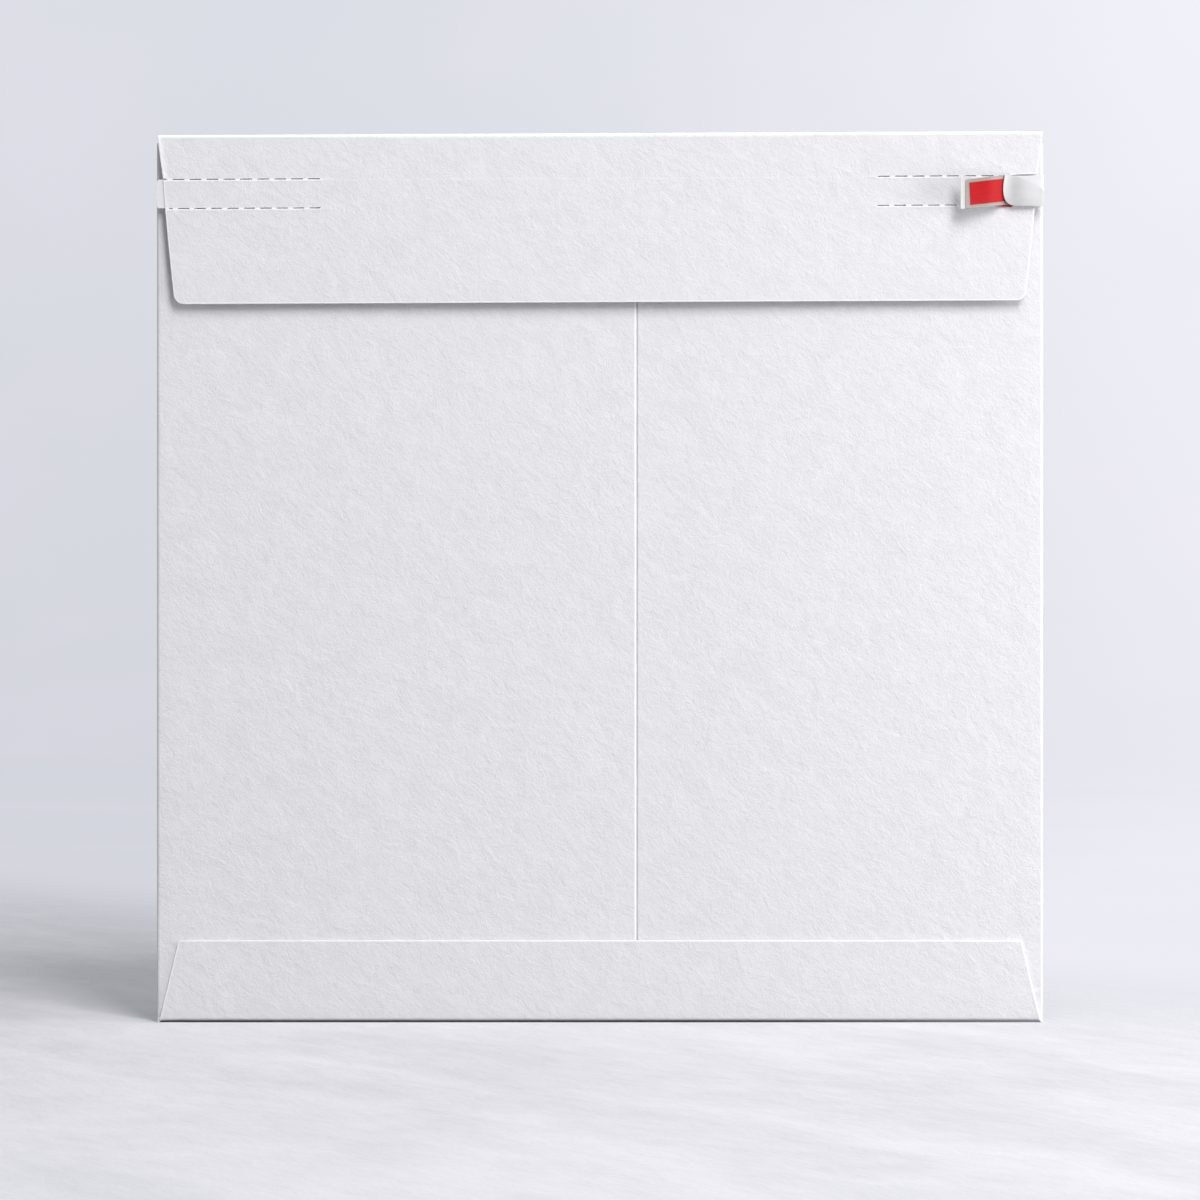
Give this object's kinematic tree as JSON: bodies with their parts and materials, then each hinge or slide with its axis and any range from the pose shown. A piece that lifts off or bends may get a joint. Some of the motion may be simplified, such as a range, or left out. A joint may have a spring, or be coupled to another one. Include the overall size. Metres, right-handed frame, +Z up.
{
  "type": "envelope",
  "caption": "Square board envelope with a centre seam, glued bottom flap and hinged closure flap, which has a perforated tear strip and a folded pull tab.",
  "frame": {"origin": "middle of the flat strip that the envelope stands on, half way through the thickness of the body", "axes": "+Z up; the closure side with the flap faces -Y, the address side +Y; +X to the right as the closure side is seen"},
  "size_m": [0.22, 0.0152, 0.2205],
  "materials": {
    "board": "uncoated white board with a fine slanting fibre grain",
    "smooth_tape": "smooth white film, faintly satin",
    "grey_liner": "warm grey liner paper, faintly satin",
    "red_tape": "red film tape, satin",
    "release_paper": "coated release paper, satin",
    "glue": "clear cream adhesive, glossy"
  },
  "bodies": {
    "pocket_body": {"front_panel": "board", "left_side_wall": "board", "right_side_wall": "board", "left_back_panel": "board", "right_back_panel": "board", "bottom_wall": "board", "bottom_flap": "board", "centre_seam_glue": "glue", "bottom_flap_glue": "glue"},
    "mouth_cover": {"top_wall": "board"},
    "flap": {"closure_flap": "board", "tear_tape": "smooth_tape", "closure_adhesive": "glue", "release_liner": "release_paper"},
    "pull_tab": {"pull_tab_lead": "smooth_tape", "pull_tab_liner": "grey_liner", "pull_tab_tape": "red_tape", "pull_tab_tape_return": "red_tape", "pull_tab_cover": "smooth_tape"}
  },
  "joints": [
    {"name": "top_crease", "type": "hinge", "parent": "pocket_body", "child": "mouth_cover", "pos_m": [0, 0.00307, 0.22027], "axis": [-1, 0, 0], "range_deg": [0, 90]},
    {"name": "flap_crease", "type": "hinge", "parent": "mouth_cover", "child": "flap", "pos_m": [0, -0.00597, 0.22027], "axis": [-1, 0, 0], "range_deg": [0, 90]},
    {"name": "pull_tab_fold", "type": "hinge", "parent": "flap", "child": "pull_tab", "pos_m": [0.1099, -0.0061, 0.206], "axis": [0, 0, 1], "range_deg": [0, 165]}
  ]
}
